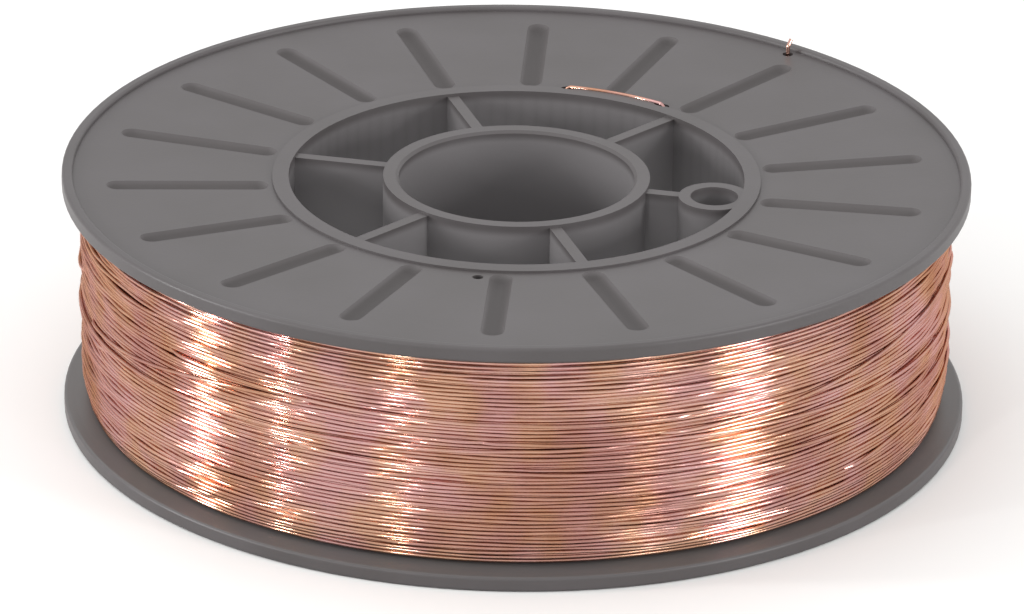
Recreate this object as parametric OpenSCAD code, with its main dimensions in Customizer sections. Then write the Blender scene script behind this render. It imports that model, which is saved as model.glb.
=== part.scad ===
// Spool of welding wire, lying on one flange as it is stored.
// Z runs along the spool's axis; the origin is where the axis meets the surface that the spool lies on.

/* [Spool] */
// Outside diameter of both flanges
flange_d = 200; // [190:1:212]
// Width over the two flange rims
spool_w = 56; // [48:1:64]
// Wall of each flange plate
plate_t = 2.4; // [1.8:0.2:3.4]
// How far the rim bead stands above the flange's outer face
rim_bead_h = 1.0; // [0.6:0.1:1.6]
// Width of the rim bead
rim_bead_w = 2.4; // [2:0.2:3.4]
// Radius on the edges of the rim bead
rim_round = 0.7; // [0.3:0.1:0.9]
// How far the flange dips from its rim to its hub
face_dip_h = 1.6; // [0.6:0.1:3]

/* [Barrel and hub] */
// Inside diameter of the barrel
barrel_in_d = 100.4; // [96:0.4:104]
// Wall of the barrel
barrel_t = 2.6; // [2:0.2:3.6]
// Width of the lip round the barrel's mouth
lip_w = 3.6; // [3:0.2:5]
// How far the lip stands above the flange's outer face
lip_h = 0.5; // [0.2:0.1:0.8]
// Diameter of the spindle bore
bore_d = 52; // [50.5:0.5:53]
// Wall of the hub tube
hub_t = 3.4; // [2.4:0.2:4]
// Chamfer at both mouths of the spindle bore
bore_chamfer = 0.6; // [0.2:0.1:1]
// Number of webs from the hub to the barrel
web_count = 6; // [4:1:8]
// Thickness of each web
web_t = 2.6; // [1.8:0.2:3.4]
// Direction of the first web, counted from the X axis
web_angle = -13; // [-30:1:30]
// How far the webs' edges lie below the hub's ends
web_drop = 0.6; // [0.4:0.1:3]

/* [Driving hole] */
// Diameter of the driving hole
drive_d = 10.5; // [10:0.5:11]
// Distance of the driving hole from the axis
drive_r = 44.5; // [43:0.5:46]
// Wall of the boss round the driving hole
drive_boss_t = 2.6; // [2:0.2:3.2]
// How far the boss's ends lie below the hub's ends
drive_boss_drop = 0.2; // [0.1:0.1:0.3]

/* [Flange grooves] */
// Number of round-bottomed, round-ended grooves on each flange
groove_count = 18; // [12:1:24]
// Flat left between the lip and the grooves' inner ends
groove_lip_gap_w = 0.9; // [0.6:0.1:6]
// Flat left between the grooves' outer ends and the rim bead
groove_rim_gap_w = 7.2; // [4:0.2:16]
// Width of a groove
groove_w = 5; // [3:0.2:8]
// Depth of a groove
groove_depth = 1.3; // [0.8:0.1:1.4]

/* [Wire holes] */
// Diameter of the wire holes in the upper flange
wire_hole_d = 2.4; // [2:0.2:3.2]
// Distance of the spare wire hole's middle from the lip
spare_hole_gap_w = 3.2; // [2.6:0.2:6]
// Direction of the spare wire hole
spare_hole_angle = -98; // [-110:1:-88]

/* [Wire] */
// Diameter of the wire
wire_d = 0.9; // [0.8:0.1:1.2]
// How far the full winding stays inside the flanges' edge
winding_margin_w = 3; // [2.6:0.2:12]
// Loss of radius where the outer layers end at the lower flange
drop_low_t = 5.0; // [2:0.2:7]
// Loss of radius where the outer layers end at the upper flange
drop_high_t = 2.4; // [1:0.2:4]
// Height over which the winding's edge falls away
winding_fall_h = 3.6; // [2:0.2:6]
// How far the winding is drawn in at half its width
winding_waist_t = 0.7; // [0:0.1:1.6]
// Depth of the valley between two neighbouring turns, as a share of the wire
valley_share = 0.4; // [0.2:0.05:0.5]
// Clearance between the winding and the spool
winding_clearance = 0.15; // [0.05:0.05:0.3]
// Directions in which the starting end leaves and enters the flange
start_angle = [77, 54];
// Direction in which the finishing end comes up
finish_angle = 49.7; // [44:0.1:56]
// How far the finishing end stands inside the winding's outside
finish_inset_w = 1.4; // [1:0.2:3]
// Length of the finishing end beyond its bend
finish_len = 1.4; // [1:0.2:6]
// Lean of the finishing end away from the axis of the spool
finish_lean = 35; // [10:5:60]
// Inner radius of the bends in the wire
wire_bend_r = 0.9; // [0.6:0.1:1.4]
// Gap between the wire's starting end and the lip beside it
tail_clearance = 0.1; // [0.05:0.05:0.3]
// Depth to which each end of the wire is traced into the winding
end_root = 5; // [3:0.5:8]
// Height of the finishing end's bend above the flange's rim
finish_rise = 0.4; // [0:0.2:2]

/* [Hidden] */
$fn = 180;

// Overlap that lets a cut run past a face or a solid grow into its neighbour
eps = 0.2;
// How much the ball at a joint in the wire stands out of it
joint_swell = 0.03;

// Radii of the spool, from the axis outwards
bore_r = bore_d / 2;
hub_r = bore_r + hub_t;
barrel_in_r = barrel_in_d / 2;
barrel_out_r = barrel_in_r + barrel_t;
lip_r = barrel_in_r + lip_w;
flange_r = flange_d / 2;
bead_in_r = flange_r - rim_bead_w;

// Heights of the lower flange; the upper one mirrors it
rim_t = rim_bead_h + plate_t;
groove_start_r = lip_r + groove_lip_gap_w;
groove_end_r = bead_in_r - groove_rim_gap_w;
spare_hole_r = lip_r + spare_hole_gap_w;
face_low_z = rim_bead_h + face_dip_h;
lip_z = face_low_z - lip_h;
plate_in_z = face_low_z + plate_t;
face_slope = atan(face_dip_h / (bead_in_r - lip_r));

// Sizes of the webs, the boss and the wire's seats
web_step = 360 / web_count;
web_len = barrel_in_r - hub_r + eps * 2;
hub_h = spool_w - 2 * lip_z;
drive_hole_r = drive_d / 2;
boss_r = drive_hole_r + drive_boss_t;
wire_r = wire_d / 2;
wire_hole_r = wire_hole_d / 2;
bend_r = wire_bend_r + wire_r;
tail_r = lip_r + wire_r + tail_clearance;

// The winding's seat inside the spool
winding_in_r = barrel_out_r + winding_clearance;
winding_out_r = flange_r - winding_margin_w;
valley = wire_d * valley_share;
seat_low_z = plate_z(winding_out_r - drop_low_t - valley) + winding_clearance;
seat_high_z = spool_w - seat_low_z;
turn_count = floor((seat_high_z - seat_low_z) / wire_d);
turn_pitch = (seat_high_z - seat_low_z) / turn_count;
layer_count = floor((winding_out_r - max(drop_low_t, drop_high_t) - winding_in_r) / wire_d);
layer_pitch = (winding_out_r - max(drop_low_t, drop_high_t) - winding_in_r) / layer_count;
finish_r = winding_out_r - finish_inset_w;

// Height of the flange's outer face and inner face at a distance from the axis
function face_z(r) = rim_bead_h + face_dip_h * (bead_in_r - r) / (bead_in_r - lip_r);
function plate_z(r) = rim_t + face_dip_h * (bead_in_r - r) / (bead_in_r - barrel_out_r);

// Points of an arc in the plane, in steps of a fourteenth of a turn or finer
function arc(c, r, from, to, steps = 5) =
    [for (i = [0 : steps]) let (a = from + (to - from) * i / steps) c + r * [cos(a), sin(a)]];

// Half section of the lower flange, from the barrel's bore outwards and back to the barrel's wall
lower_flange_section = concat(
    [[barrel_in_r, lip_z], [lip_r, lip_z], [lip_r, face_low_z], [bead_in_r, rim_bead_h]],
    arc([bead_in_r + rim_round, rim_round], rim_round, 180, 270),
    arc([flange_r - rim_round, rim_round], rim_round, 270, 360),
    arc([flange_r - rim_round, rim_t - rim_round], rim_round, 0, 90),
    [[bead_in_r, rim_t], [barrel_out_r, plate_in_z]]
);

// The same points for the upper flange, in the order that closes the section
upper_flange_section =
    [for (i = [len(lower_flange_section) - 1 : -1 : 0])
        [lower_flange_section[i][0], spool_w - lower_flange_section[i][1]]];

module at_angle(a, r) {
    rotate([0, 0, a]) translate([r, 0, 0]) children();
}

module on_both_flanges() {
    children();
    translate([0, 0, spool_w]) mirror([0, 0, 1]) children();
}

module flanges_and_barrel() {
    rotate_extrude() polygon(concat(lower_flange_section, upper_flange_section));
}

// Spans the spool's width, short of the hub's ends by a drop at each
module between_ends(drop) {
    translate([0, 0, lip_z + drop]) linear_extrude(hub_h - 2 * drop) children();
}

module hub_and_webs() {
    between_ends(0) circle(r = hub_r);
    between_ends(web_drop) for (i = [0 : web_count - 1])
        rotate(web_angle + i * web_step) translate([hub_r - eps, -web_t / 2]) square([web_len, web_t]);
    between_ends(drive_boss_drop) rotate(web_angle) translate([drive_r, 0]) circle(r = boss_r);
}

// Cut of a ball-ended groove that lies along X from its middle, with the flange's face at height 0
module groove(length) {
    ball_r = (pow(groove_w / 2, 2) + pow(groove_depth, 2)) / (2 * groove_depth);
    straight = length - groove_w;
    translate([0, 0, groove_depth - ball_r]) {
        rotate([0, 90, 0]) cylinder(r = ball_r, h = straight, center = true);
        for (side = [-1, 1])
            translate([side * straight / 2, 0, 0]) sphere(r = ball_r);
    }
}

module grooves() {
    mid_r = (groove_start_r + groove_end_r) / 2;
    groove_len = groove_end_r - groove_start_r;
    for (i = [0 : groove_count - 1])
        at_angle(web_angle + i * 360 / groove_count, mid_r)
            translate([0, 0, face_z(mid_r)]) rotate([0, face_slope, 0]) groove(groove_len);
}

// Slot in the upper flange that lets the wire turn from upright to lying
module wire_slot(a, towards) {
    reach = bend_r * towards;
    at_angle(a, tail_r) translate([0, 0, spool_w - plate_in_z - eps]) {
        cylinder(r = wire_hole_r, h = plate_in_z, $fn = 32);
        translate([0, reach, 0]) cylinder(r = wire_hole_r, h = plate_in_z, $fn = 32);
        translate([-wire_hole_r, min(0, reach), 0]) cube([wire_hole_d, abs(reach), plate_in_z]);
    }
}

module wire_hole(a, r) {
    at_angle(a, r) translate([0, 0, spool_w - plate_in_z - eps])
        cylinder(r = wire_hole_r, h = plate_in_z + eps, $fn = 32);
}

module spool() {
    color([0.41, 0.40, 0.41]) difference() {
        union() {
            flanges_and_barrel();
            hub_and_webs();
        }
        translate([0, 0, -eps]) cylinder(r = bore_r, h = spool_w + 2 * eps);
        on_both_flanges() {
            translate([0, 0, lip_z - eps])
                cylinder(r1 = bore_r + bore_chamfer + eps, r2 = bore_r, h = bore_chamfer + eps);
            grooves();
        }
        at_angle(web_angle, drive_r) translate([0, 0, -eps])
            cylinder(r = drive_hole_r, h = spool_w + 2 * eps, $fn = 48);
        wire_slot(start_angle[0], 1);
        wire_slot(start_angle[1], -1);
        wire_hole(finish_angle, finish_r);
        wire_hole(spare_hole_angle, spare_hole_r);
    }
}

// Radius of the winding's outside at a height
function winding_edge(z) = winding_out_r
    - drop_low_t * exp(-(z - seat_low_z) / winding_fall_h)
    - drop_high_t * exp(-(seat_high_z - z) / winding_fall_h)
    - winding_waist_t * sin(180 * (z - seat_low_z) / (seat_high_z - seat_low_z));

// Height of the winding's lower end at a distance from the axis
function winding_end_z(r) = plate_z(r) + winding_clearance;

// Crests and valleys of the turns, up the outside of the winding
function turns_outside() = [for (i = [0 : turn_count - 1]) let (z = seat_low_z + i * turn_pitch) each [
    [winding_edge(z) - valley, z],
    [winding_edge(z + turn_pitch / 4) - valley / 4, z + turn_pitch / 4],
    [winding_edge(z + turn_pitch * 3 / 4) - valley / 4, z + turn_pitch * 3 / 4]
]];

// Crests and valleys of the layers, from the barrel outwards on the winding's lower end
function layers_on_end() = [for (i = [0 : layer_count - 1]) let (r = winding_in_r + i * layer_pitch) each [
    [r, winding_end_z(r) + valley],
    [r + layer_pitch / 2, winding_end_z(r + layer_pitch / 2)]
]];

module winding() {
    low_end = layers_on_end();
    high_end = [for (i = [len(low_end) - 1 : -1 : 0]) [low_end[i][0], spool_w - low_end[i][1]]];
    rotate_extrude() polygon(concat(low_end, turns_outside(), high_end));
}

// Bend in the wire, from upright at the origin over towards a direction in the plan
module wire_bend(turn, direction) {
    rotate([0, 0, direction]) mirror([1, 0, 0]) rotate([90, 0, 0]) translate([-bend_r, 0, 0])
        rotate_extrude(angle = turn) translate([bend_r, 0]) circle(r = wire_r, $fn = 24);
}

// Ball that joins two lengths of the wire
module wire_joint() {
    sphere(r = wire_r + joint_swell, $fn = 48);
}

// Starting end: up through its slot, along the lip and down through the second slot
module starting_end() {
    tail_z = spool_w - face_z(tail_r) + wire_r;
    winding_top = spool_w - winding_end_z(tail_r);
    leg_low = [winding_top - end_root, winding_top + winding_clearance];
    for (i = [0, 1]) {
        side = i == 0 ? 1 : -1;
        at_angle(start_angle[i], tail_r) translate([0, bend_r * side, 0]) {
            translate([0, 0, leg_low[i]])
                cylinder(r = wire_r, h = tail_z - bend_r - leg_low[i], $fn = 24);
            translate([0, 0, tail_z - bend_r]) {
                wire_bend(90, -90 * side);
                wire_joint();
            }
        }
        at_angle(start_angle[i], tail_r) translate([0, 0, tail_z]) wire_joint();
    }
    translate([0, 0, tail_z]) rotate([0, 0, start_angle[1]])
        rotate_extrude(angle = start_angle[0] - start_angle[1])
            translate([tail_r, 0]) circle(r = wire_r, $fn = 24);
}

// Finishing end: up from the outer layer through its hole, bent outwards and cut off
module finishing_end() {
    leg_low = seat_high_z - end_root;
    leg_high = spool_w + finish_rise;
    at_angle(finish_angle, finish_r) {
        translate([0, 0, leg_low]) cylinder(r = wire_r, h = leg_high - leg_low, $fn = 24);
        translate([0, 0, leg_high]) {
            wire_joint();
            wire_bend(finish_lean, 0);
            translate([bend_r * (1 - cos(finish_lean)), 0, bend_r * sin(finish_lean)]) {
                wire_joint();
                rotate([0, finish_lean, 0]) cylinder(r = wire_r, h = finish_len, $fn = 24);
            }
        }
    }
}

module welding_wire() {
    color([0.72, 0.47, 0.37]) union() {
        winding();
        starting_end();
        finishing_end();
    }
}

spool();
welding_wire();
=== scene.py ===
import math

import bpy
import numpy as np
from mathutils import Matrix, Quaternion, Vector


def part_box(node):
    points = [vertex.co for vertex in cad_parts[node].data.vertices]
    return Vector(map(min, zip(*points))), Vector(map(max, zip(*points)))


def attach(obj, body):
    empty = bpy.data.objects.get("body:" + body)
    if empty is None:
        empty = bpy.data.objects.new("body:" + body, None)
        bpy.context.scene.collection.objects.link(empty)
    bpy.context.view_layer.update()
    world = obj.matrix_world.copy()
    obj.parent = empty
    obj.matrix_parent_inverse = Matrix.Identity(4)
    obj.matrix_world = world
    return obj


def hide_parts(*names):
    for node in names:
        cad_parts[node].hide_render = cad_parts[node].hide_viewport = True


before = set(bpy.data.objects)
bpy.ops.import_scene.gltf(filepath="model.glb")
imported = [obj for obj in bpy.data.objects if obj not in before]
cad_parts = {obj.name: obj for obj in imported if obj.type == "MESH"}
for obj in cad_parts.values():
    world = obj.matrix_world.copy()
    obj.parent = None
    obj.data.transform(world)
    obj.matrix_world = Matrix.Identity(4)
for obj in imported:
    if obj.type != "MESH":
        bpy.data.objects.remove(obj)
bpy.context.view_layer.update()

# The camera. It looks down on the spool by about 23 degrees through a long lens, from 1.6 m away, and it is
# rolled by less than a degree, as a hand-held one is. AIM is the point in the middle of the picture.
LOOK_DOWN = math.radians(23.2)
ROLL = math.radians(0.8)
DISTANCE = 1.6
SENSOR_MM = 36.0
LENS_MM = 253.8
SIGHT = Vector((0.0, 0.0, 0.0275))
AIM = Vector((-0.0006, -0.0019, 0.0231))
FARTHEST_SEEN = 20.0

camera_data = bpy.data.cameras.new("camera")
camera_data.sensor_width = SENSOR_MM
camera_data.lens = LENS_MM
camera_data.clip_end = FARTHEST_SEEN
camera = bpy.data.objects.new("camera", camera_data)
bpy.context.scene.collection.objects.link(camera)
camera.location = SIGHT + DISTANCE * Vector((0.0, -math.cos(LOOK_DOWN), math.sin(LOOK_DOWN)))
camera.rotation_mode = "QUATERNION"
camera.rotation_quaternion = (AIM - camera.location).to_track_quat("-Z", "Y") @ Quaternion((0, 0, 1), ROLL)
bpy.context.scene.camera = camera
bpy.context.scene.view_settings.view_transform = "Standard"


# The stage. A white room stands round the spool, it lies on a sheet of white paper, and the lamps are soft.
# The narrow lamps make the bands of light on the wire, each halfway round from the camera to its lamp.
def linear(hex_colour):
    """An sRGB hex colour as linear red, green, blue and alpha."""
    parts = [int(hex_colour[i:i + 2], 16) / 255 for i in (1, 3, 5)]
    return tuple(c / 12.92 if c <= 0.04045 else ((c + 0.055) / 1.055) ** 2.4 for c in parts) + (1.0,)


def add_node(tree, kind, settings=None):
    """Adds a node. settings gives its inputs, by name or number, and its properties.

    A socket given there is linked, a node stands for its first output, and anything else is a value.
    """
    node = tree.nodes.new(kind)
    for name, value in (settings or {}).items():
        source = value.outputs[0] if isinstance(value, bpy.types.Node) else value
        if isinstance(source, bpy.types.NodeSocket):
            tree.links.new(source, node.inputs[name])
        elif isinstance(name, int) or name in node.inputs:
            node.inputs[name].default_value = source
        else:
            setattr(node, name, source)
    return node


def new_material(name):
    """An empty node material and its tree."""
    material = bpy.data.materials.new(name)
    material.use_nodes = True
    material.node_tree.nodes.clear()
    return material, material.node_tree


def seen_by(tree, *rays):
    """1 for these kinds of ray, and 0 for the light that falls on things."""
    path = add_node(tree, "ShaderNodeLightPath")
    seen = path.outputs[rays[0]]
    for kind in rays[1:]:
        seen = add_node(tree, "ShaderNodeMath", {"operation": "MAXIMUM", 0: seen, 1: path.outputs[kind]})
    return seen


# The room lights the spool more from the ceiling than from the walls, and it is seen plain white. Only
# reflections show a dim doorway in it, behind the spool to the left, which keeps the upper flange from glaring.
# The doorway's two directions go from where it starts to where it is dimmest.
HORIZON_LIGHT, CEILING_LIGHT = 0.35, 1.2
DOORWAY_LEFT = (-0.05, -0.3)
DOORWAY_BACK = (0.4, 0.9)
DOORWAY_DARK = 0.5

world = bpy.data.worlds.new("white_room")
bpy.context.scene.world = world
world.use_nodes = True
room = world.node_tree
room.nodes.clear()
outward = add_node(room, "ShaderNodeTexCoord").outputs["Generated"]
direction = add_node(room, "ShaderNodeSeparateXYZ", {"Vector": outward})
ceiling = add_node(room, "ShaderNodeMapRange", {
    "Value": direction.outputs["Z"], "To Min": HORIZON_LIGHT, "To Max": CEILING_LIGHT})
leftward = add_node(room, "ShaderNodeMapRange", {
    "Value": direction.outputs["X"], "From Min": DOORWAY_LEFT[0], "From Max": DOORWAY_LEFT[1],
    "To Max": DOORWAY_DARK})
backward = add_node(room, "ShaderNodeMapRange", {
    "Value": direction.outputs["Y"], "From Min": DOORWAY_BACK[0], "From Max": DOORWAY_BACK[1]})
doorway = add_node(room, "ShaderNodeMath", {"operation": "MULTIPLY", 0: leftward, 1: backward})
walls = add_node(room, "ShaderNodeMath", {"operation": "SUBTRACT", 0: 1.0, 1: doorway})
direct = seen_by(room, "Is Camera Ray", "Is Transmission Ray")
backdrop = add_node(room, "ShaderNodeMath", {"operation": "MAXIMUM", 0: walls, 1: direct})
seen = seen_by(room, "Is Camera Ray", "Is Transmission Ray", "Is Glossy Ray")
strength = add_node(room, "ShaderNodeMapRange", {"Value": seen, "To Min": ceiling, "To Max": backdrop})
sky = add_node(room, "ShaderNodeBackground", {"Color": linear("#ffffff"), "Strength": strength})
add_node(room, "ShaderNodeOutputWorld", {"Surface": sky})

# Matt white paper, which shows no gloss and keeps the spool's shadow. It lights the spool from below less
# than it seems to, so that the lower flange stays dark at its foot. The last three numbers are the colour
# sockets of a Mix node.
SHEET_SIZE = 6.0
PAPER_SEEN, PAPER_LIT = "#f3f3f2", "#a8a8a7"
COLOUR_A, COLOUR_B, MIXED_COLOUR = 6, 7, 2

paper, tree = new_material("matt_white_paper")
seen = seen_by(tree, "Is Camera Ray", "Is Glossy Ray", "Is Transmission Ray")
sheet_tone = add_node(tree, "ShaderNodeMix", {
    "data_type": "RGBA", "Factor": seen, COLOUR_A: linear(PAPER_LIT), COLOUR_B: linear(PAPER_SEEN)})
matt = add_node(tree, "ShaderNodeBsdfDiffuse", {"Color": sheet_tone.outputs[MIXED_COLOUR]})
add_node(tree, "ShaderNodeOutputMaterial", {"Surface": matt})

half = SHEET_SIZE / 2
sheet_mesh = bpy.data.meshes.new("white_sheet")
corners = [(-half, -half, 0), (half, -half, 0), (half, half, 0), (-half, half, 0)]
sheet_mesh.from_pydata(corners, [], [(0, 1, 2, 3)])
sheet_mesh.materials.append(paper)
white_sheet = bpy.data.objects.new("white_sheet", sheet_mesh)
bpy.context.scene.collection.objects.link(white_sheet)


def area_lamp(name, azimuth, elevation, distance, size, watts):
    """A rectangular lamp that looks at the spool. Azimuth 0 is the camera's side, and right is positive."""
    data = bpy.data.lights.new(name, "AREA")
    data.shape = "RECTANGLE"
    data.size, data.size_y = size
    data.energy = watts
    lamp = bpy.data.objects.new(name, data)
    bpy.context.scene.collection.objects.link(lamp)
    a, e = math.radians(azimuth), math.radians(elevation)
    outward = Vector((math.sin(a) * math.cos(e), -math.cos(a) * math.cos(e), math.sin(e)))
    lamp.location = SIGHT + distance * outward
    lamp.rotation_euler = (SIGHT - lamp.location).to_track_quat("-Z", "Y").to_euler()


area_lamp("key", azimuth=-120, elevation=64, distance=2.0, size=(2.2, 2.2), watts=9)
area_lamp("band_left", azimuth=-84, elevation=12, distance=1.6, size=(0.14, 0.5), watts=11)
area_lamp("band_left_near", azimuth=-60, elevation=14, distance=1.6, size=(0.03, 0.3), watts=3.5)
area_lamp("band_front", azimuth=-28, elevation=14, distance=1.6, size=(0.03, 0.3), watts=3.2)
area_lamp("band_right_near", azimuth=34, elevation=14, distance=1.6, size=(0.16, 0.4), watts=1.3)
area_lamp("band_right", azimuth=59, elevation=12, distance=1.6, size=(0.3, 0.5), watts=11)


# The spool. One injection moulding in black polystyrene: two flanges, a barrel, a webbed hub and a boss. The
# solid from the frame is kept as it is and gets its moulded surface here. The sizes say where its finish
# changes, as distances from the axis, from the plane halfway between the flanges and below the faces.
MM = 0.001
SPOOL_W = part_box("spool")[1][2]
HALF_W = SPOOL_W / 2
TUBE_R = 27.5 * MM
HUB_INSIDE_R = 50.4 * MM
HUB_TOP, HUB_SHADED, HUB_DEEP = HALF_W - 2.9 * MM, HALF_W - 4.9 * MM, HALF_W - 26 * MM
BARREL_OUT_R = 52.8 * MM
PLATES_INSIDE = HALF_W - 3.4 * MM
LIP_OUT_R = 53.8 * MM
RIM_IN_R = 97.6 * MM
FACE_AT_RIM = HALF_W - 1.0 * MM
DISH = 1.6 * MM
GROOVE_EDGE, GROOVE_FLOOR, PLATE_BACK = 0.15 * MM, 0.9 * MM, 2.2 * MM
EDGE_BLUR = 0.3 * MM

polystyrene, tree = new_material("moulded_black_polystyrene")
place = add_node(tree, "ShaderNodeTexCoord").outputs["Object"]
in_plan = add_node(tree, "ShaderNodeVectorMath", {"operation": "MULTIPLY", 0: place, 1: (1, 1, 0)})
from_axis = add_node(tree, "ShaderNodeVectorMath", {"operation": "LENGTH", 0: in_plan}).outputs["Value"]
height = add_node(tree, "ShaderNodeSeparateXYZ", {"Vector": place}).outputs["Z"]
above_middle = add_node(tree, "ShaderNodeMath", {"operation": "SUBTRACT", 0: height, 1: HALF_W})
from_middle = add_node(tree, "ShaderNodeMath", {"operation": "ABSOLUTE", 0: above_middle})
face_slope = DISH / (RIM_IN_R - LIP_OUT_R)
face = add_node(tree, "ShaderNodeMath", {
    "operation": "MULTIPLY_ADD", 0: from_axis, 1: face_slope, 2: FACE_AT_RIM - face_slope * RIM_IN_R})
below_face = add_node(tree, "ShaderNodeMath", {"operation": "SUBTRACT", 0: face, 1: from_middle})


def zone(*limits):
    """Share of a zone of the moulding, from 0 to 1.

    Each limit is a measure, its value where the zone starts and its value where it shows in full.
    """
    share = 1.0
    for measure, start, full in limits:
        step = add_node(tree, "ShaderNodeMapRange", {
            "interpolation_type": "SMOOTHSTEP", "Value": measure, "From Min": start, "From Max": full})
        share = add_node(tree, "ShaderNodeMath", {"operation": "MULTIPLY", 0: share, 1: step})
    return share


# Painted light: the walls inside the hub are painted lighter, and deep between the webs lighter still.
hub = ((from_axis, HUB_INSIDE_R, HUB_INSIDE_R - EDGE_BLUR), (from_middle, HUB_TOP, HUB_SHADED))
hub_painted_light = zone(*hub)
pocket_painted_light = zone(*hub, (from_axis, TUBE_R, TUBE_R + 0.5 * MM), (from_middle, HUB_TOP, HUB_DEEP))
# Painted light: the flanges' inner faces are painted lighter where the wire shades them.
inner_face_painted_light = zone((from_axis, BARREL_OUT_R, BARREL_OUT_R + EDGE_BLUR),
                   (from_middle, PLATES_INSIDE + EDGE_BLUR, PLATES_INSIDE))
# Painted shade: the grooves are painted darker. The same mask also makes them rougher, as with dust.
groove_shade_and_dust = zone((below_face, GROOVE_EDGE, GROOVE_FLOOR), (below_face, PLATE_BACK, PLATE_BACK - 0.2 * MM),
                 (from_axis, LIP_OUT_R + 1 * MM, LIP_OUT_R + 2 * MM),
                 (from_axis, RIM_IN_R - 1 * MM, RIM_IN_R - 3 * MM))

# Black polystyrene from a spark-finished mould: satin, with a fine grain. Its real IOR, 1.59, looked too
# glossy.
# The walls inside the hub are painted lighter as painted light, more so deep between the webs, and so are the
# flanges' inner faces where the wire shades them. The grooves get painted shade and are rougher, as with dust.
GRAIN_MM = 0.8
CLOUD_MM = 24
POLYSTYRENE_IOR = 1.45
SATIN_ROUGHNESS, CLOUD_ROUGHNESS, DUST_ROUGHNESS = 0.38, 0.08, 0.2

grain = add_node(tree, "ShaderNodeTexNoise", {"Vector": place, "Scale": 1 / (GRAIN_MM * MM), "Detail": 3.0})
cloud = add_node(tree, "ShaderNodeTexNoise", {"Vector": place, "Scale": 1 / (CLOUD_MM * MM), "Detail": 4.0})
clouded = add_node(tree, "ShaderNodeMapRange", {"Value": cloud, "From Min": 0.3, "From Max": 0.7})
colour = linear("#504c4c")
# Painted light: the hub's two tones and the inner faces' tone. Painted shade: the grooves' tone.
for share, tone in ((clouded, "#585455"), (hub_painted_light, "#757273"), (pocket_painted_light, "#b0adae"),
                    (inner_face_painted_light, "#605f5f"), (groove_shade_and_dust, "#4c4848")):
    colour = add_node(tree, "ShaderNodeMix", {
        "data_type": "RGBA", "Factor": share, COLOUR_A: colour, COLOUR_B: linear(tone)}).outputs[MIXED_COLOUR]
satin = add_node(tree, "ShaderNodeMath", {
    "operation": "MULTIPLY_ADD", 0: cloud, 1: CLOUD_ROUGHNESS, 2: SATIN_ROUGHNESS})
roughness = add_node(tree, "ShaderNodeMath", {
    "operation": "MULTIPLY_ADD", 0: groove_shade_and_dust, 1: DUST_ROUGHNESS, 2: satin})
bump = add_node(tree, "ShaderNodeBump", {"Height": grain, "Strength": 0.15, "Distance": 0.1 * MM})
plastic = add_node(tree, "ShaderNodeBsdfPrincipled", {
    "Base Color": colour, "Roughness": roughness, "IOR": POLYSTYRENE_IOR, "Normal": bump})
add_node(tree, "ShaderNodeOutputMaterial", {"Surface": plastic})

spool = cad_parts["spool"]
spool.data.materials.clear()
spool.data.materials.append(polystyrene)


# The wound wire. Steel wire with a thin coat of copper, drawn through a die and laid turn by turn round the
# barrel. Its inner layers are one turned body, whose ends show the edges of the layers between the flanges.
WIRE_D = 0.9 * MM
WIRE_R = WIRE_D / 2
PLATE_RIM_Z = 3.55 * MM
SEAT_LOW, SEAT_HIGH = PLATE_RIM_Z, SPOOL_W - PLATE_RIM_Z
BORE_R = 52.95 * MM
WINDING_R = 97 * MM
DROP_LOW, DROP_HIGH = 2.6 * MM, 2.4 * MM
FALL = 3.6 * MM
WAIST = 0.7 * MM

# Drawn steel with a bright copper coat. The coat is thin and handled, so its tone runs in long streaks along
# the wire, browns in patches and turns from yellower to pinker, and the fine lines that the die leaves along
# the wire stretch each highlight round it.
STREAK_MM, STREAK_WIDTH_MM = 60, 0.5
DIE_LINE_MM, DIE_LINE_WIDTH_MM = 8, 0.06
BROWN_PATCH_MM = 26
HUE_PATCH_MM = 12
WIRE_UV = "along_the_wire"

coppered, tree = new_material("drawn_coppered_steel")
coordinates = add_node(tree, "ShaderNodeTexCoord")
streak_place = add_node(tree, "ShaderNodeMapping", {
    "Vector": coordinates.outputs["UV"], "Scale": (1 / (STREAK_MM * MM), 1 / (STREAK_WIDTH_MM * MM), 1)})
streak = add_node(tree, "ShaderNodeTexNoise", {
    "Vector": streak_place, "Scale": 1.0, "Detail": 5.0, "Roughness": 0.65})
streaked = add_node(tree, "ShaderNodeMapRange", {"Value": streak, "From Min": 0.3, "From Max": 0.7})
patch = add_node(tree, "ShaderNodeTexNoise", {
    "Vector": coordinates.outputs["Object"], "Scale": 1 / (BROWN_PATCH_MM * MM), "Detail": 4.0})
browned = add_node(tree, "ShaderNodeMapRange", {
    "Value": patch, "From Min": 0.42, "From Max": 0.62, "To Max": 0.8})
hue = add_node(tree, "ShaderNodeTexNoise", {
    "Vector": coordinates.outputs["Object"], "Scale": 1 / (HUE_PATCH_MM * MM), "Detail": 3.0})
pinker = add_node(tree, "ShaderNodeMapRange", {"Value": hue, "From Min": 0.38, "From Max": 0.62})
hue_tone = add_node(tree, "ShaderNodeMix", {
    "data_type": "RGBA", "Factor": pinker, COLOUR_A: linear("#ffefd8"), COLOUR_B: linear("#ffedf6")})
colour = linear("#bf9e93")
for blend, share, tone in (("MIX", streaked, linear("#dbbdb4")), ("MULTIPLY", browned, linear("#dacabd")),
                           ("MULTIPLY", 1.0, hue_tone.outputs[MIXED_COLOUR])):
    colour = add_node(tree, "ShaderNodeMix", {
        "data_type": "RGBA", "blend_type": blend, "Factor": share, COLOUR_A: colour,
        COLOUR_B: tone}).outputs[MIXED_COLOUR]
roughness = add_node(tree, "ShaderNodeMapRange", {"Value": streak, "To Min": 0.15, "To Max": 0.22})
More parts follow.
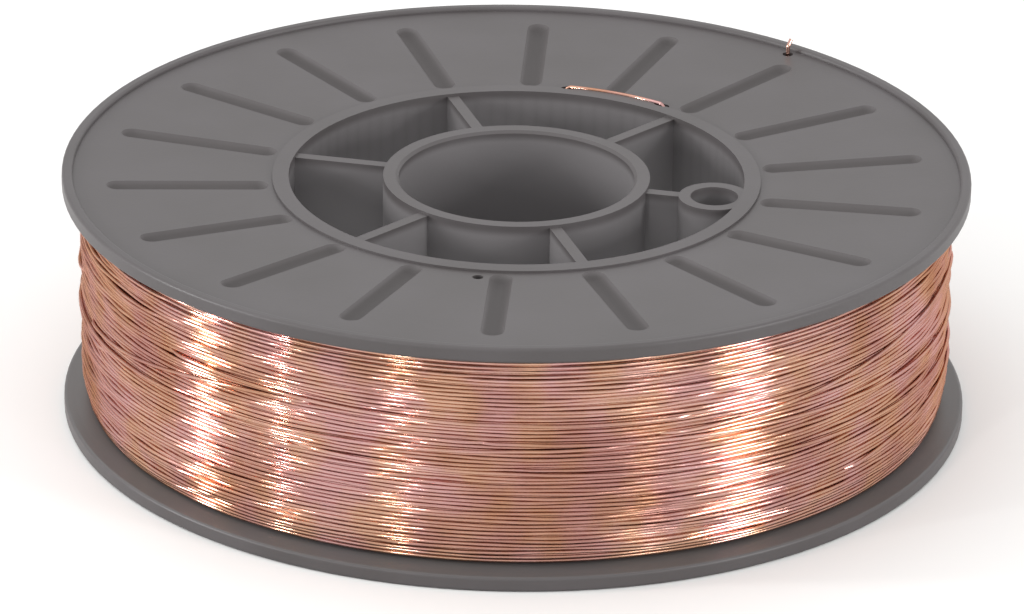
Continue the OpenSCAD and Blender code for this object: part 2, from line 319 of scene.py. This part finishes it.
die_place = add_node(tree, "ShaderNodeMapping", {
    "Vector": coordinates.outputs["UV"], "Scale": (1 / (DIE_LINE_MM * MM), 1 / (DIE_LINE_WIDTH_MM * MM), 1)})
die_lines = add_node(tree, "ShaderNodeTexNoise", {"Vector": die_place, "Scale": 1.0, "Detail": 2.0})
die_bump = add_node(tree, "ShaderNodeBump", {"Height": die_lines, "Strength": 0.25, "Distance": 0.02 * MM})
lengthwise = add_node(tree, "ShaderNodeTangent", {"direction_type": "UV_MAP", "uv_map": WIRE_UV})
copper = add_node(tree, "ShaderNodeBsdfPrincipled", {
    "Base Color": colour, "Metallic": 1.0, "Roughness": roughness, "Specular Tint": linear("#e8c4b3"),
    "Anisotropic": 1.0, "Anisotropic Rotation": 0.25, "Tangent": lengthwise, "Normal": die_bump})
add_node(tree, "ShaderNodeOutputMaterial", {"Surface": copper})


def wire_piece(name, points, faces, uv):
    """A smooth mesh of coppered wire that rides with the spool and stands for part of the solid winding."""
    mesh = bpy.data.meshes.new(name)
    mesh.from_pydata(points.tolist(), [], faces.tolist())
    mesh.polygons.foreach_set("use_smooth", [True] * len(mesh.polygons))
    mesh.uv_layers.new(name=WIRE_UV).data.foreach_set("uv", uv.astype(np.float32).ravel())
    mesh.materials.append(coppered)
    mesh.update()
    piece = bpy.data.objects.new(name, mesh)
    bpy.context.scene.collection.objects.link(piece)
    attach(piece, "root")
    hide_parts("welding_wire")


def winding_edge(z):
    """Radius of the winding's outside at a height: it falls away at both flanges and is drawn in between."""
    share = (z - SEAT_LOW) / (SEAT_HIGH - SEAT_LOW)
    at_flanges = DROP_LOW * np.exp(-(z - SEAT_LOW) / FALL) + DROP_HIGH * np.exp(-(SEAT_HIGH - z) / FALL)
    return WINDING_R - at_flanges - WAIST * np.sin(math.pi * share)


def winding_end(r):
    """Height of the winding's lower end at a distance from the axis, where it lies on the dished flange."""
    return PLATE_RIM_Z + DISH * (RIM_IN_R - r) / (RIM_IN_R - BORE_R)


def run_along(points):
    """How far along a path each of its points lies."""
    return np.concatenate([[0], np.cumsum(np.linalg.norm(np.diff(points, axis=0), axis=1))])


def points_at(x, y, z):
    """Points from their coordinates, any of which may be one number for all."""
    return np.stack(np.broadcast_arrays(x, y, z), 1)


def points_round(r, angle, z):
    """Points from their distances to the axis, their angles round it and their heights."""
    return points_at(r * np.cos(angle), r * np.sin(angle), z)


def grid_mesh(points, row_run, ring_run, corners):
    """Points, faces and UV of rows of points, each row a closed ring.

    The runs are the lengths from row to row and round the ring, corners a face's corners as steps of both.
    """
    ring = len(ring_run) - 1
    rows = len(points) // ring
    i, j = np.meshgrid(np.arange(len(row_run) - 1), np.arange(ring), indexing="ij")
    faces = np.stack([(i + a) % rows * ring + (j + b) % ring for a, b in corners], 2).reshape(-1, 4)
    uv = np.stack([np.stack([row_run[i + a], ring_run[j + b]], 2) for a, b in corners], 2).reshape(-1, 2)
    return points, faces, uv


def turned(section, steps):
    """Points, faces and UV of a closed half section turned once round the Z axis."""
    step = 2 * math.pi / steps
    angles = np.repeat(np.arange(steps) * step, len(section))
    points = points_round(np.tile(section[:, 0], steps), angles, np.tile(section[:, 1], steps))
    girth = np.arange(steps + 1) * step * np.mean(section[:, 0])
    section_run = run_along(np.concatenate([section, section[:1]]))
    return grid_mesh(points, girth, section_run, corners=((0, 0), (1, 0), (1, 1), (0, 1)))


# The inner layers end a little below the outer turns, with the turns of the next layer down on their outside
# and a crest and a valley for each layer on both ends.
CORE_DEPTH = 0.95 * MM
CORE_STEPS = 180
UNDER_TURNS = 53
UNDER_POINTS = 4
UNDER_VALLEY = 0.3 * MM
LAYERS = 38
LAYER_VALLEY = 0.36 * MM
PLATE_GAP = 0.25 * MM

edge_z = np.linspace(SEAT_LOW + PLATE_GAP, SEAT_HIGH - PLATE_GAP, UNDER_TURNS * UNDER_POINTS + 1)
crest = np.abs(np.sin(math.pi * np.arange(len(edge_z)) / UNDER_POINTS))
edge_r = winding_edge(edge_z) - CORE_DEPTH - UNDER_VALLEY * (1 - crest)
half_layers = np.arange(2 * LAYERS)
valley = LAYER_VALLEY * (1 - half_layers % 2)
low_r = BORE_R + (edge_r[0] - BORE_R) * half_layers / (2 * LAYERS)
high_r = BORE_R + (edge_r[-1] - BORE_R) * half_layers / (2 * LAYERS)
low_end = np.stack([low_r, winding_end(low_r) + valley], 1)
high_end = np.stack([high_r, SPOOL_W - winding_end(high_r) - valley], 1)
core_section = np.concatenate([low_end, np.stack([edge_r, edge_z], 1), high_end[::-1]])
wire_piece("wire_core", *turned(core_section, CORE_STEPS))


# The outer layer. One unbroken wire that climbs round the winding in some fifty turns, side by side. Each
# turn strays a little in height and depth, as machine winding leaves it, and so breaks up the bands of light.
LAYER_SINK = 0.45 * MM
TURN_STEPS = 360
TUBE_SIDES = 8
TURN_GAP = 0.02 * MM
CALM_TURNS = 3
wander = np.random.default_rng(7)


def strays(turns, waves, size, drift):
    """A sum of waves round the spool. drift is how much of a wave their shape moves on from turn to turn."""
    total = np.zeros_like(turns)
    for lobes in waves:
        phase = wander.uniform(0, 2 * math.pi)
        change = wander.uniform(0.6, 1.0) * wander.choice([-1, 1]) * drift
        total += size / math.sqrt(len(waves)) * np.sin(2 * math.pi * (lobes + change) * turns + phase)
    return total


def tube(path, sides):
    """Points, faces and UV of the round wire along a path of points. The seam faces the spool's axis."""
    ahead = np.gradient(path, axis=0)
    ahead /= np.linalg.norm(ahead, axis=1)[:, None]
    out = path * (1, 1, 0)
    out -= ahead * np.sum(out * ahead, axis=1)[:, None]
    out /= np.linalg.norm(out, axis=1)[:, None]
    up = np.cross(ahead, out)
    angles = math.pi + np.arange(sides) * 2 * math.pi / sides
    ring = out[:, None, :] * np.cos(angles)[None, :, None] + up[:, None, :] * np.sin(angles)[None, :, None]
    points = (path[:, None, :] + WIRE_R * ring).reshape(-1, 3)
    girth = np.arange(sides + 1) * 2 * math.pi * WIRE_R / sides
    return grid_mesh(points, run_along(path), girth, corners=((0, 0), (0, 1), (1, 1), (1, 0)))


line_z = np.linspace(SEAT_LOW, SEAT_HIGH, 2000)
line = np.stack([winding_edge(line_z) - LAYER_SINK - WIRE_R, line_z], 1)
slope = np.gradient(line, axis=0)
slope /= np.linalg.norm(slope, axis=1)[:, None]
climb = run_along(line)
end_heights = (SEAT_LOW + PLATE_GAP + WIRE_R, SEAT_HIGH - PLATE_GAP - WIRE_R)
first_climb, last_climb = np.interp(end_heights, line_z, climb)
turn_count = int((last_climb - first_climb) / (WIRE_D + TURN_GAP))


def layer_path(turns):
    """Middle of the wire in the outer layer, after a number of turns from the lower flange."""
    calm = np.clip(np.minimum(turns, turn_count - turns) / CALM_TURNS, 0, 1)
    aside = strays(turns, (1, 2, 3, 5), 0.34 * MM, 0.01) + strays(turns, (4, 7, 9), 0.07 * MM, 0.4)
    depth = strays(turns, (2, 3, 5, 7), 0.14 * MM, 0.25) + strays(turns, (9, 13, 16, 21), 0.2 * MM, 0.22)
    depth = calm * (depth + strays(turns, (31, 44, 57), 0.07 * MM, 0.42))
    s = first_climb + (last_climb - first_climb) * turns / turn_count + calm * aside
    r = np.interp(s, climb, line[:, 0]) + depth * np.interp(s, climb, slope[:, 1])
    z = np.interp(s, climb, line[:, 1]) - depth * np.interp(s, climb, slope[:, 0])
    return points_round(r, math.pi / 2 + 2 * math.pi * turns, z)


layer = layer_path(np.linspace(0, turn_count, turn_count * TURN_STEPS + 1))
points, faces, uv = tube(layer, TUBE_SIDES)
half_way = turn_count // 2 * TURN_STEPS * TUBE_SIDES
for name, first, last in (("wire_layer_low", 0, half_way), ("wire_layer_high", half_way, len(faces))):
    wire_piece(name, points[first:last + TUBE_SIDES], faces[first:last] - first, uv[4 * first:4 * last])


# The crossing lengths. Here and there the wire rides on top of the layer and crosses a few turns before it
# dives back between them. Each is buried at both of its ends, and some metres of wire lie between one and the
# next, so that their tones differ.
CROSSINGS = 15
CROSSING_SHIFT = 0.35
SWEEP_DEG = (50, 140)
LOWEST_START, HIGHEST_START = SEAT_LOW + 5 * MM, SEAT_HIGH - 12 * MM
GAIN_MM = (1.5, 8)
FALLING_ODDS, RISING_ODDS = 0.3, 0.7
SWAY = 0.12
FLANGE_CLEAR = 3 * MM
CROSSING_LIFT = 0.8 * WIRE_D
BURIED = 0.9 * WIRE_D
DIVE_SHARE = 0.07
METRES_BETWEEN = 7
SIDE_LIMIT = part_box("welding_wire")[1][0] - 1.05 * WIRE_R
crossing_rng = np.random.default_rng(21)


def kept_in_box(path):
    """Draws a path in wherever its wire would stand outside the solid winding's box."""
    reach = np.max(np.abs(path[:, :2]), axis=1)
    scale = np.minimum(1, SIDE_LIMIT / reach)
    return path * points_at(scale, scale, 1)


crossing_points, crossing_faces, crossing_uv, first_point = [], [], [], 0
for number in range(CROSSINGS):
    start = (number + crossing_rng.uniform(-CROSSING_SHIFT, CROSSING_SHIFT)) * 2 * math.pi / CROSSINGS
    sweep = math.radians(crossing_rng.uniform(*SWEEP_DEG))
    low = crossing_rng.uniform(LOWEST_START, HIGHEST_START)
    gain = crossing_rng.uniform(*GAIN_MM) * MM * crossing_rng.choice([-1, 1], p=[FALLING_ODDS, RISING_ODDS])
    share = np.linspace(0, 1, int(math.degrees(sweep)))
    eased = share + np.sin(2 * math.pi * share) * crossing_rng.uniform(-SWAY, SWAY)
    z = np.clip(low + gain * eased, SEAT_LOW + FLANGE_CLEAR, SEAT_HIGH - FLANGE_CLEAR)
    risen = np.clip(np.minimum(share, 1 - share) / DIVE_SHARE, 0, 1)
    lift = risen * risen * (3 - 2 * risen) * (CROSSING_LIFT + BURIED) - BURIED
    r = winding_edge(z) - LAYER_SINK - WIRE_R + lift
    points, faces, uv = tube(kept_in_box(points_round(r, start + sweep * share, z)), TUBE_SIDES)
    crossing_points.append(points)
    crossing_faces.append(faces + first_point)
    crossing_uv.append(uv + (number * METRES_BETWEEN, 0))
    first_point += len(points)
wire_piece("wire_crossings", *map(np.concatenate, (crossing_points, crossing_faces, crossing_uv)))


# The starting end. The wire comes up through its slot in the upper flange, lies along the lip of the barrel's
# mouth and goes back down through a second slot, which holds it while the barrel is wound.
END_SIDES = 16
BEND_R = 0.9 * MM + WIRE_R
TAIL_DEG = (77, 54)
TAIL_R = 54.35 * MM
TAIL_Z = SPOOL_W - 2.58 * MM + WIRE_R
TAIL_ROOT_Z = SPOOL_W - 6.5 * MM


def turned_to(angle, points):
    """Points given along and across a direction, turned to that direction in plan."""
    a = math.radians(angle)
    x, y, z = points.T
    return points_at(x * math.cos(a) - y * math.sin(a), x * math.sin(a) + y * math.cos(a), z)


quarter = np.radians(np.linspace(0, 90, 9))
leg = points_at(TAIL_R, BEND_R, np.linspace(TAIL_ROOT_Z, TAIL_Z - BEND_R, 5, endpoint=False))
bend = points_at(TAIL_R, BEND_R * np.cos(quarter), TAIL_Z - BEND_R + BEND_R * np.sin(quarter))
rising = np.concatenate([leg, bend])
falling = (rising * (1, -1, 1))[::-1]
lying = points_round(TAIL_R, np.radians(np.linspace(*TAIL_DEG, 40))[1:-1], TAIL_Z)
start_path = np.concatenate([turned_to(TAIL_DEG[0], rising), lying, turned_to(TAIL_DEG[1], falling)])
wire_piece("wire_start_end", *tube(start_path, END_SIDES))


# The finishing end. The last turn leaves the layer, comes up through a hole beside the flange's rim, is bent
# outwards so that it can't slip back, and is cut off square. Its route goes by angle, radius and height.
FINISH_DEG = 49.7
FINISH_R = 95.6 * MM
FINISH_LEAN = math.radians(35)
FINISH_LEN = 1.4 * MM
FINISH_BEND_Z = SPOOL_W + 0.4 * MM
ROUTE_DEG_MM_MM = ((14, 94.6, 45.6), (20, 95.0, 46.2), (28, 95.4, 46.9), (36, 95.7, 47.6), (43, 95.8, 48.3),
                   (46.8, 95.7, 48.9), (49.0, 95.6, 50.2), (49.7, 95.6, 52.0), (49.7, 95.6, 54.0))


def smooth_path(knots, steps):
    """A smooth run of points through some knots, by cubic blends between them."""
    padded = np.concatenate([2 * knots[:1] - knots[1:2], knots, 2 * knots[-1:] - knots[-2:-1]])
    t = np.linspace(0, 1, steps, endpoint=False)[:, None]
    runs = []
    for a, b, c, d in zip(padded, padded[1:], padded[2:], padded[3:]):
        square, cube = 2 * a - 5 * b + 4 * c - d, 3 * b - a - 3 * c + d
        runs.append(0.5 * (2 * b + (c - a) * t + square * t ** 2 + cube * t ** 3))
    return np.concatenate(runs + [knots[-1:]])


route_deg, route_r, route_z = np.transpose(ROUTE_DEG_MM_MM)
leaving = smooth_path(points_round(route_r * MM, np.radians(route_deg), route_z * MM), 6)
lean = np.linspace(0, FINISH_LEAN, 7)
bent = points_at(FINISH_R + BEND_R * (1 - np.cos(lean)), 0, FINISH_BEND_Z + BEND_R * np.sin(lean))
cut_end = bent[-1:] + FINISH_LEN * np.array([[math.sin(FINISH_LEAN), 0, math.cos(FINISH_LEAN)]])
standing = turned_to(FINISH_DEG, np.concatenate([bent, cut_end]))
wire_piece("wire_finish_end", *tube(kept_in_box(np.concatenate([leaving, standing])), END_SIDES))
